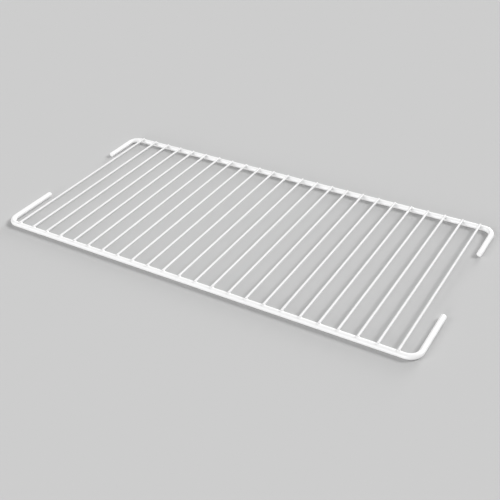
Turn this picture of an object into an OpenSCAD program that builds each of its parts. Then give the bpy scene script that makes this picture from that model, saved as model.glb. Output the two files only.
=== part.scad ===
// Wire shelf for a freezer compartment.
// Two thick rods, front and back, carry a row of thin cross wires welded on top of them.
// Both ends of each rod are bent inwards into hooks that the freezer's side supports take.
// The shelf lies on its rods. Its origin is at floor level, under the middle of the shelf.
// +X runs along the rods to the right, +Y towards the back rod, +Z up.

/* [Shelf] */
// Overall width, across the outer sides of the two front hooks
shelf_w = 502; // [420:1:600]
// Overall depth, from the outer side of the front rod to that of the back rod
shelf_d = 243; // [210:1:320]
// How much narrower the shelf is across its back hooks, as the freezer's walls taper
back_taper = 5; // [0:0.5:15]

/* [Rods] */
// Diameter of the front and back rods, with their coating
rod_d = 6; // [5:0.1:8]
// Radius of the rod's centreline in the bend that leads into each hook
bend_r = 12; // [9:0.5:20]
// Reach of the front hooks, from the front rod's axis to the hook's tip
front_hook = 70; // [40:1:90]
// Reach of the back hooks, from the back rod's axis to the hook's tip
back_hook = 52; // [40:1:90]
// Rounding of the coated edge at each hook's tip
tip_round = 1.2; // [0.4:0.1:2]

/* [Cross wires] */
// Number of cross wires, spread evenly along the rods
wire_count = 24; // [12:1:30]
// Diameter of a cross wire, with its coating
wire_d = 2.6; // [2:0.1:4]
// Straight stretch of the back rod from the axis of an end wire to the start of the bend
end_run = 3.5; // [3:0.5:20]
// How far a wire runs out past the axis of the rod that carries it
wire_overrun = 0.4; // [0.2:0.1:3]
// Rounding of the coated edge at each end of a wire
wire_round = 0.6; // [0.2:0.1:0.9]

/* [Welds] */
// Depth to which the weld presses a wire into the rod under it
set_down = 0.7; // [0.2:0.05:1]
// Radius of the weld's skirt at its foot, inside the rod
weld_foot = 1.6; // [1.4:0.1:2.4]

/* [Hidden] */
$fn = 48;
rod_r = rod_d / 2;
wire_r = wire_d / 2;

// Places of the two rods' axes, and how far each runs straight to either side of the middle
rod_y = shelf_d / 2 - rod_r;
rod_z = rod_r;
front_straight = shelf_w / 2 - rod_r - bend_r;
back_straight = front_straight - back_taper / 2;

// Places of the wires, which lie on the rods' crowns
wire_z = rod_z + rod_r + wire_r - set_down;
first_x = end_run - back_straight;
wire_pitch = -2 * first_x / (wire_count - 1);
wire_end = rod_y + wire_overrun;

// The weld's skirt narrows from its foot, well inside the rod, to just inside the wire's side and end
weld_tuck = 0.2;
neck_r = wire_r - weld_tuck;
weld_y = rod_y - max(neck_r + weld_tuck - wire_overrun, 0);
foot_z = rod_z + rod_r / 2;
foot_r = min(weld_foot, sqrt(3) / 2 * rod_r - (rod_y - weld_y));

function wire_name(i) = str("cross_wire_", i < 10 ? "0" : "", i);

coating = "whitesmoke";

// End of a round bar, standing on the ground plane, with its edge rounded over
module bar_end(r, edge) {
    rotate_extrude() {
        square([r - edge, edge]);
        intersection() {
            translate([r - edge, 0]) circle(r = edge);
            square([r, edge]);
        }
    }
}

// Quarter bend at the right end of a straight rod, and the leg that follows it towards -Y
module hook(reach) {
    shank = reach - bend_r - tip_round;
    translate([0, -bend_r, 0]) {
        rotate_extrude(angle = 90) translate([bend_r, 0]) circle(r = rod_r);
        translate([bend_r, 0, 0]) rotate([90, 0, 0]) {
            cylinder(r = rod_r, h = shank);
            translate([0, 0, shank]) bar_end(rod_r, tip_round);
        }
    }
}

// Whole rod along X, bent from one length of bar, with its hooks towards -Y
module rod(straight, reach) {
    rotate([0, 90, 0]) cylinder(r = rod_r, h = 2 * straight, center = true);
    for (side = [0, 1])
        mirror([side, 0, 0]) translate([straight, 0, 0]) hook(reach);
}

module back_rod() {
    color(coating) translate([0, rod_y, rod_z]) rod(back_straight, back_hook);
}

module front_rod() {
    color(coating) translate([0, -rod_y, rod_z]) mirror([0, 1, 0]) rod(front_straight, front_hook);
}

// Cone of weld and coating that closes the corner between a wire and the rod under it
module weld_skirt() {
    translate([0, 0, foot_z]) cylinder(r1 = foot_r, r2 = neck_r, h = wire_z - foot_z);
}

// Straight bar of a wire, with both ends rounded
module wire_bar() {
    shank = wire_end - wire_round;
    rotate([90, 0, 0]) {
        cylinder(r = wire_r, h = 2 * shank, center = true);
        for (side = [0, 1])
            mirror([0, 0, side]) translate([0, 0, shank]) bar_end(wire_r, wire_round);
    }
}

// The crown of a rod, which leaves its saddle in the underside of the wire
module rod_crown() {
    rotate([0, 90, 0]) cylinder(r = rod_r, h = 4 * wire_d, center = true);
}

// One cross wire, seated on both rods
module cross_wire(i) {
    color(coating) translate([first_x + (i - 1) * wire_pitch, 0, 0])
        difference() {
            union() {
                translate([0, 0, wire_z]) wire_bar();
                for (y = [-weld_y, weld_y]) translate([0, y, 0]) weld_skirt();
            }
            for (y = [-rod_y, rod_y]) translate([0, y, rod_z]) rod_crown();
        }
}

front_rod();
back_rod();
for (i = [1 : wire_count]) {
    cross_wire(i);
}
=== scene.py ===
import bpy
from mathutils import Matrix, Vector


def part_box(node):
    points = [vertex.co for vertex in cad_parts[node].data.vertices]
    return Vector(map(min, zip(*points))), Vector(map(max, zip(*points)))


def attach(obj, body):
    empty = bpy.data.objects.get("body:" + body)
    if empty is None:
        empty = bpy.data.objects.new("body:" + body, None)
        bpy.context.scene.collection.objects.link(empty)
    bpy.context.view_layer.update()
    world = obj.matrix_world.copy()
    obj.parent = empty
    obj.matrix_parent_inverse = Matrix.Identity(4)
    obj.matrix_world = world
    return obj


bl_info = {
    "name": "Freezer Wire Shelf Dressing",
    "version": (1, 0, 0),
    "blender": (4, 5, 0),
    "location": "3D View > Sidebar > Wire Shelf",
    "description": "Coats the rods and wires, draws the coating into their welds and sets the stage",
    "category": "Object",
}

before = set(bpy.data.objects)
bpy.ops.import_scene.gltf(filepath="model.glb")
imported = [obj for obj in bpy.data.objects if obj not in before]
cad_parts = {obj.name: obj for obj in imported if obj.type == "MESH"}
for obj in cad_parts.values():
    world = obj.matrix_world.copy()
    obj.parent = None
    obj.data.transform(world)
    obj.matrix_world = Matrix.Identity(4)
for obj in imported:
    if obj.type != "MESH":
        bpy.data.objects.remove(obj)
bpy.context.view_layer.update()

import math

import bpy
from mathutils import Matrix, Vector

MM = 0.001
BODY = "root"
X, Z = 0, 2


def extent(node, axis):
    """How far a CAD node reaches along an axis."""
    low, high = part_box(node)
    return high[axis] - low[axis]


# What the frame says of the rods and wires
RODS = ("front_rod", "back_rod")
WIRES = sorted(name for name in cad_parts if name.startswith("cross_wire_"))
ROD_RADIUS = extent(RODS[0], Z) / 2
WIRE_RADIUS = extent(WIRES[0], X) / 2
WIRE_ROUND = 0.6 * MM  # rounding of the edge at a wire's end

# How finely the fillet of coating round a weld is drawn
FILLET_AROUND = 56  # steps round the weld
FILLET_ACROSS = 5  # steps from the rod to the wire
HALVINGS = 40  # steps that close in on the place where a ball touches both rod and wire
NOTHING = 1e-9  # a length that counts as none

ALONG_WIRE = Vector((0.0, 1.0, 0.0))
UP = Vector((0.0, 0.0, 1.0))

LIGHTS = ("key", "high", "back", "front", "left")
SENSOR_WIDTH = 36.0  # in millimetres, as the camera lens is


def sized(name, description, default, **more):
    """A length property, in metres."""
    return bpy.props.FloatProperty(
        name=name, description=description, default=default, unit="LENGTH", precision=5, **more
    )


def placed(name, description, default):
    """A property that holds a point, in metres."""
    return bpy.props.FloatVectorProperty(
        name=name, description=description, default=default, size=3, subtype="XYZ", unit="LENGTH"
    )


def linear(hex_colour):
    """An sRGB hex colour as linear RGBA."""
    channels = [int(hex_colour[i : i + 2], 16) / 255 for i in (1, 3, 5)]
    return tuple(
        c / 12.92 if c <= 0.04045 else ((c + 0.055) / 1.055) ** 2.4 for c in channels
    ) + (1.0,)


def tinted(name, description, hex_colour):
    """A colour property whose default is an sRGB hex colour."""
    return bpy.props.FloatVectorProperty(
        name=name,
        description=description,
        default=linear(hex_colour),
        size=4,
        min=0.0,
        max=1.0,
        subtype="COLOR",
    )


def turned(name, description, degrees):
    """An angle property, given in degrees."""
    return bpy.props.FloatProperty(
        name=name,
        description=description,
        default=math.radians(degrees),
        subtype="ANGLE",
        unit="ROTATION",
    )


def share(name, description, default):
    """A property between 0 and 1."""
    return bpy.props.FloatProperty(
        name=name, description=description, default=default, min=0.0, max=1.0, subtype="FACTOR"
    )


def brightness(name, description, default):
    """A light's strength property."""
    return bpy.props.FloatProperty(name=name, description=description, default=default, min=0.0)


class CoatingSettings(bpy.types.PropertyGroup):
    """The white coating on the steel wire."""

    rod_colour: tinted("Rod colour", "Colour of the thick coating on the rods and in the welds", "#F5F5F5")
    wire_colour: tinted("Wire colour", "Colour of the thinner coating on the cross wires", "#E6E6E6")
    thinning: share("Thinning", "How much darker the coating gets where it has drawn thin", 0.04)
    ripple: sized("Ripple", "Width of one ripple of the coating's skin", 1.6 * MM, min=0.2 * MM)
    ripple_height: sized("Ripple height", "How far a ripple stands up", 0.012 * MM, min=0.0)
    drift: sized("Drift", "Length over which the coating gets thicker and thinner", 45 * MM, min=MM)
    roughness: share("Roughness", "How dull the coating's skin is", 0.34)
    fillet: sized("Fillet", "Radius of the coating in the corner of a weld", 0.9 * MM, min=0.2 * MM)


class StageSettings(bpy.types.PropertyGroup):
    """The floor, the light and the camera."""

    floor_size: sized("Floor size", "Side of the floor", 60.0, min=1.0)
    floor_colour: tinted("Floor colour", "Colour of the paper on the floor", "#BFBFBF")
    light_colour: tinted("Light colour", "Colour of the soft light from all round", "#FFFFFF")
    light_strength: brightness("Light strength", "Brightness of the light from all round", 0.258)
    key_strength: brightness("Key strength", "Brightness of the key light, behind to the right", 2.11)
    key_azimuth: turned("Key azimuth", "Where the key light stands, round from +X towards +Y", 45)
    key_elevation: turned("Key elevation", "How high the key light stands over the floor", 36)
    key_width: turned("Key width", "How wide the key light looks from the shelf", 20)
    high_strength: brightness("High strength", "Brightness of the higher light behind", 0.72)
    high_azimuth: turned("High azimuth", "Where the high light stands, round from +X towards +Y", 90)
    high_elevation: turned("High elevation", "How high the high light stands over the floor", 34)
    high_width: turned("High width", "How wide the high light looks from the shelf", 30)
    back_strength: brightness("Back strength", "Brightness of the low light behind", 2.03)
    back_azimuth: turned("Back azimuth", "Where the back light stands, round from +X towards +Y", 90)
    back_elevation: turned("Back elevation", "How high the back light stands over the floor", 11)
    back_width: turned("Back width", "How wide the back light looks from the shelf", 20)
    front_strength: brightness("Front strength", "Brightness of the low light in front", 1.52)
    front_azimuth: turned("Front azimuth", "Where the front light stands, round from +X towards +Y", 270)
    front_elevation: turned("Front elevation", "How high the front light stands over the floor", 11)
    front_width: turned("Front width", "How wide the front light looks from the shelf", 20)
    left_strength: brightness("Left strength", "Brightness of the light in front to the left", 1.10)
    left_azimuth: turned("Left azimuth", "Where the left light stands, round from +X towards +Y", 225)
    left_elevation: turned("Left elevation", "How high the left light stands over the floor", 30)
    left_width: turned("Left width", "How wide the left light looks from the shelf", 30)
    camera_place: placed("Camera place", "Where the camera stands", (0.41094, -0.65667, 0.49846))
    camera_aim: placed(
        "Camera aim", "The point on the floor that the camera looks at", (0.02571, -0.03504, 0.0)
    )
    camera_roll: turned("Camera roll", "How far the camera leans to its side", -2.18)
    camera_lens: bpy.props.FloatProperty(
        name="Camera lens",
        description="Focal length for a sensor 36 mm wide",
        default=58.87,
        unit="CAMERA",
    )


def add_node(tree, kind, settings=None, links=None, **sockets):
    """Adds a shader node with its own settings, links into its sockets and values for the rest of them."""
    node = tree.nodes.new(kind)
    for name, value in (settings or {}).items():
        setattr(node, name, value)
    for name, value in sockets.items():
        node.inputs[name.replace("_", " ")].default_value = value
    for name, source in (links or {}).items():
        tree.links.new(source, node.inputs[name])
    return node


def blank_material(name):
    """A new material with an empty node tree."""
    material = bpy.data.materials.new(name)
    material.use_nodes = True
    material.node_tree.nodes.clear()
    return material


def powder_coated_steel(name, colour, settings):
    """Steel, welded, then powder coated and baked. It is made once for each name."""
    # The baked powder flows out to a smooth, even, half-gloss skin. It keeps a faint ripple, like orange
    # peel, drawn at its real size, that only breaks the edge of a highlight, and it is a shade darker
    # where it has drawn thin. The scale of a noise is how many of its waves fit into a metre.
    material = bpy.data.materials.get(name)
    if material:
        return material
    material = blank_material(name)
    tree = material.node_tree
    place = add_node(tree, "ShaderNodeTexCoord").outputs["Object"]
    drift = add_node(
        tree,
        "ShaderNodeTexNoise",
        links={"Vector": place},
        Scale=1 / settings.drift,
        Detail=1.0,
        Roughness=0.4,
    )
    tone = add_node(
        tree,
        "ShaderNodeMix",
        {"data_type": "RGBA"},
        {"Factor": drift.outputs["Fac"]},
        A=colour,
        B=[channel * (1 - settings.thinning) for channel in colour[:3]] + [1.0],
    )
    ripple = add_node(
        tree,
        "ShaderNodeTexNoise",
        links={"Vector": place},
        Scale=1 / settings.ripple,
        Detail=2.0,
        Roughness=0.4,
    )
    skin = add_node(
        tree,
        "ShaderNodeBump",
        links={"Height": ripple.outputs["Fac"]},
        Strength=1.0,
        Distance=settings.ripple_height,
    )
    shader = add_node(
        tree,
        "ShaderNodeBsdfPrincipled",
        links={"Base Color": tone.outputs["Result"], "Normal": skin.outputs["Normal"]},
        Roughness=settings.roughness,
        IOR=1.5,
    )
    add_node(tree, "ShaderNodeOutputMaterial", links={"Surface": shader.outputs["BSDF"]})
    return material


def powder_coated_rod(settings):
    """Powder coating on the rods and in the corners of the welds, where it builds up thick and white."""
    return powder_coated_steel("powder_coated_rod", settings.rod_colour, settings)


def powder_coated_wire(settings):
    """Powder coating on the cross wires. Less of it holds on thin wire, so its white is a shade greyer."""
    return powder_coated_steel("powder_coated_wire", settings.wire_colour, settings)


def studio_paper(settings):
    """Smooth uncoated paper, rolled out as the floor: pale, dull and even."""
    material = blank_material("studio_paper")
    tree = material.node_tree
    shader = add_node(
        tree,
        "ShaderNodeBsdfPrincipled",
        Base_Color=settings.floor_colour,
        Roughness=1.0,
        Specular_IOR_Level=0.0,
    )
    add_node(tree, "ShaderNodeOutputMaterial", links={"Surface": shader.outputs["BSDF"]})
    return material


def finish_nodes(nodes, material):
    """Gives CAD nodes their finish."""
    for name in nodes:
        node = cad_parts[name]
        if not node.material_slots:
            node.data.materials.append(None)
        for slot in node.material_slots:
            slot.material = material


def wire_gap(point, end):
    """Distance from a point to a wire's skin, and the way out of the wire there.

    The wire lies along Y through the origin, and has its rounded end at end.
    """
    across = math.hypot(point.x, point.z)
    reach = Vector((across - (WIRE_RADIUS - WIRE_ROUND), point.y - (end - WIRE_ROUND)))
    outside = Vector((max(reach.x, 0.0), max(reach.y, 0.0)))
    distance = outside.length + min(max(reach.x, reach.y), 0.0) - WIRE_ROUND
    sideways = Vector((point.x, 0.0, point.z)) / max(across, NOTHING)
    if outside.length > NOTHING:
        way = (sideways * outside.x + ALONG_WIRE * outside.y).normalized()
    else:
        way = sideways if reach.x > reach.y else ALONG_WIRE
    return distance, way


def ball_on_rod(reach, heading, ball):
    """The middle of a ball that lies on the rod, at this reach from the weld's middle along a heading."""
    y = reach * heading.y
    z = math.sqrt(max((ROD_RADIUS + ball) ** 2 - y * y, 0.0))
    return Vector((reach * heading.x, y, z))


def fillet_rows(height, end, ball):
    """The skin of coating that a rolling ball leaves in the corner between a wire and the rod under it.

    The rod lies along X through the origin, and the wire along Y at this height, out to end. A row runs
    from the rod to the wire, as pairs of a point of the skin and the way out of the skin there.
    """
    wire_axis = Vector((0.0, 0.0, height))
    rows = []
    for step in range(FILLET_AROUND):
        turn = math.tau * step / FILLET_AROUND
        heading = Vector((math.cos(turn), math.sin(turn)))
        # Between near, where the ball cuts into the wire, and far, where it is clear of it
        near, far = 0.0, ROD_RADIUS + ball
        for _ in range(HALVINGS):
            reach = (near + far) / 2
            if wire_gap(ball_on_rod(reach, heading, ball) - wire_axis, end)[0] < ball:
                near = reach
            else:
                far = reach
        ball_middle = ball_on_rod(far, heading, ball)
        to_rod = Vector((0.0, ball_middle.y, ball_middle.z)).normalized() * -1
        to_wire = wire_gap(ball_middle - wire_axis, end)[1] * -1
        ways = [to_rod.slerp(to_wire, part / FILLET_ACROSS) for part in range(FILLET_ACROSS + 1)]
        rows.append([(ball_middle + ball * way, -way) for way in ways])
    return rows


def add_fillets(name, rod, settings):
    """One mesh of the coating fillets at every weld of a rod."""
    rod_low, rod_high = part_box(rod)
    at_back = rod_low.y + rod_high.y > 0
    outward = 1.0 if at_back else -1.0
    rod_y = (rod_high.y if at_back else rod_low.y) - outward * ROD_RADIUS
    vertices, ways, faces = [], [], []
    for wire in WIRES:
        low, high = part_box(wire)
        height = high.z - WIRE_RADIUS - ROD_RADIUS
        end = outward * ((high.y if at_back else low.y) - rod_y)
        place = Vector(((low.x + high.x) / 2, rod_y, ROD_RADIUS))
        # Both edges of the skin are closed to the root, a point that lies inside the rod and the wire
        root = len(vertices)
        vertices.append(place + Vector((0.0, 0.0, (ROD_RADIUS + height - WIRE_RADIUS) / 2)))
        ways.append(UP)
        for row in fillet_rows(height, end, settings.fillet):
            for point, way in row:
                vertices.append(place + Vector((point.x, outward * point.y, point.z)))
                ways.append(Vector((way.x, outward * way.y, way.z)))
        for step in range(FILLET_AROUND):
            here = root + 1 + step * (FILLET_ACROSS + 1)
            there = root + 1 + (step + 1) % FILLET_AROUND * (FILLET_ACROSS + 1)
            strip = [(here + j, there + j, there + j + 1, here + j + 1) for j in range(FILLET_ACROSS)]
            strip += [(root, there, here), (here + FILLET_ACROSS, there + FILLET_ACROSS, root)]
            faces += strip if at_back else [face[::-1] for face in strip]
    mesh = bpy.data.meshes.new(name)
    mesh.from_pydata(vertices, [], faces)
    mesh.validate()
    mesh.shade_smooth()
    mesh.normals_split_custom_set_from_vertices(ways)
    piece = bpy.data.objects.new(name, mesh)
    bpy.context.scene.collection.objects.link(piece)
    piece.data.materials.append(powder_coated_rod(settings))
    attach(piece, BODY)


def hang_light(name, strength, azimuth, elevation, width):
    """A distant soft light that looks this wide from the shelf."""
    lamp = bpy.data.lights.new(name, "SUN")
    lamp.energy = strength
    lamp.angle = width
    light = bpy.data.objects.new(name, lamp)
    flat = math.cos(elevation)
    towards = Vector((flat * math.cos(azimuth), flat * math.sin(azimuth), math.sin(elevation)))
    light.rotation_euler = towards.to_track_quat("Z", "Y").to_euler()
    bpy.context.scene.collection.objects.link(light)


class WIRESHELF_OT_coat_rods(bpy.types.Operator):
    """Coat the front and back rods"""

    bl_idname = "wireshelf.coat_rods"
    bl_label = "Coat Rods"

    def execute(self, context):
        finish_nodes(RODS, powder_coated_rod(context.scene.wireshelf_coating))
        return {"FINISHED"}


class WIRESHELF_OT_coat_wires(bpy.types.Operator):
    """Coat the cross wires"""

    bl_idname = "wireshelf.coat_wires"
    bl_label = "Coat Cross Wires"

    def execute(self, context):
        finish_nodes(WIRES, powder_coated_wire(context.scene.wireshelf_coating))
        return {"FINISHED"}


class WIRESHELF_OT_weld_fillets(bpy.types.Operator):
    """Draw the coating into the corners of every weld"""

    bl_idname = "wireshelf.weld_fillets"
    bl_label = "Fill Weld Corners"

    def execute(self, context):
        for rod in RODS:
            add_fillets(rod.replace("_rod", "_weld_fillets"), rod, context.scene.wireshelf_coating)
        return {"FINISHED"}


class WIRESHELF_OT_set_stage(bpy.types.Operator):
    """Lay the floor and hang the soft lights"""

    bl_idname = "wireshelf.set_stage"
    bl_label = "Set Stage"

    def execute(self, context):
        settings = context.scene.wireshelf_stage
        half = settings.floor_size / 2
        mesh = bpy.data.meshes.new("floor")
        corners = [(-half, -half, 0), (half, -half, 0), (half, half, 0), (-half, half, 0)]
        mesh.from_pydata(corners, [], [(0, 1, 2, 3)])
        floor = bpy.data.objects.new("floor", mesh)
        context.scene.collection.objects.link(floor)
        floor.data.materials.append(studio_paper(settings))

        world = bpy.data.worlds.new("studio")
        world.use_nodes = True
        background = world.node_tree.nodes["Background"]
        background.inputs["Color"].default_value = settings.light_colour
        background.inputs["Strength"].default_value = settings.light_strength
        context.scene.world = world

        for name in LIGHTS:
            hang_light(
                name,
                getattr(settings, name + "_strength"),
                getattr(settings, name + "_azimuth"),
                getattr(settings, name + "_elevation"),
                getattr(settings, name + "_width"),
            )
        context.scene.view_settings.view_transform = "Standard"
        return {"FINISHED"}


class WIRESHELF_OT_place_camera(bpy.types.Operator):
    """Stand the camera where the shelf is seen from"""

    bl_idname = "wireshelf.place_camera"
    bl_label = "Place Camera"

    def execute(self, context):
        settings = context.scene.wireshelf_stage
        place = Vector(settings.camera_place)
        look = Vector(settings.camera_aim) - place
        camera = bpy.data.objects.new("camera", bpy.data.cameras.new("camera"))
        camera.data.sensor_width = SENSOR_WIDTH
        camera.data.lens = settings.camera_lens
        level = look.to_track_quat("-Z", "Y").to_matrix()
        turn = level @ Matrix.Rotation(settings.camera_roll, 3, "Z")
        camera.matrix_world = Matrix.Translation(place) @ turn.to_4x4()
        context.scene.collection.objects.link(camera)
        context.scene.camera = camera
        return {"FINISHED"}


class WIRESHELF_PT_panel(bpy.types.Panel):
    """Settings and buttons for the shelf's coating, its stage and its camera"""

    bl_idname = "WIRESHELF_PT_panel"
    bl_label = "Wire Shelf"
    bl_space_type = "VIEW_3D"
    bl_region_type = "UI"
    bl_category = "Wire Shelf"

    def draw(self, context):
        for settings in (context.scene.wireshelf_coating, context.scene.wireshelf_stage):
            box = self.layout.box()
            for name in settings.__annotations__:
                box.prop(settings, name)
        for step in STEPS:
            self.layout.operator(step.bl_idname)


STEPS = (
    WIRESHELF_OT_place_camera,
    WIRESHELF_OT_set_stage,
    WIRESHELF_OT_coat_rods,
    WIRESHELF_OT_coat_wires,
    WIRESHELF_OT_weld_fillets,
)
CLASSES = (CoatingSettings, StageSettings, *STEPS, WIRESHELF_PT_panel)


def register():
    for cls in CLASSES:
        bpy.utils.register_class(cls)
    bpy.types.Scene.wireshelf_coating = bpy.props.PointerProperty(type=CoatingSettings)
    bpy.types.Scene.wireshelf_stage = bpy.props.PointerProperty(type=StageSettings)


def unregister():
    del bpy.types.Scene.wireshelf_stage
    del bpy.types.Scene.wireshelf_coating
    for cls in reversed(CLASSES):
        bpy.utils.unregister_class(cls)


def main():
    """Takes every step in order."""
    register()
    bpy.ops.wireshelf.place_camera()
    bpy.ops.wireshelf.set_stage()
    bpy.ops.wireshelf.coat_rods()
    bpy.ops.wireshelf.coat_wires()
    bpy.ops.wireshelf.weld_fillets()


if __name__ == "__main__":
    main()
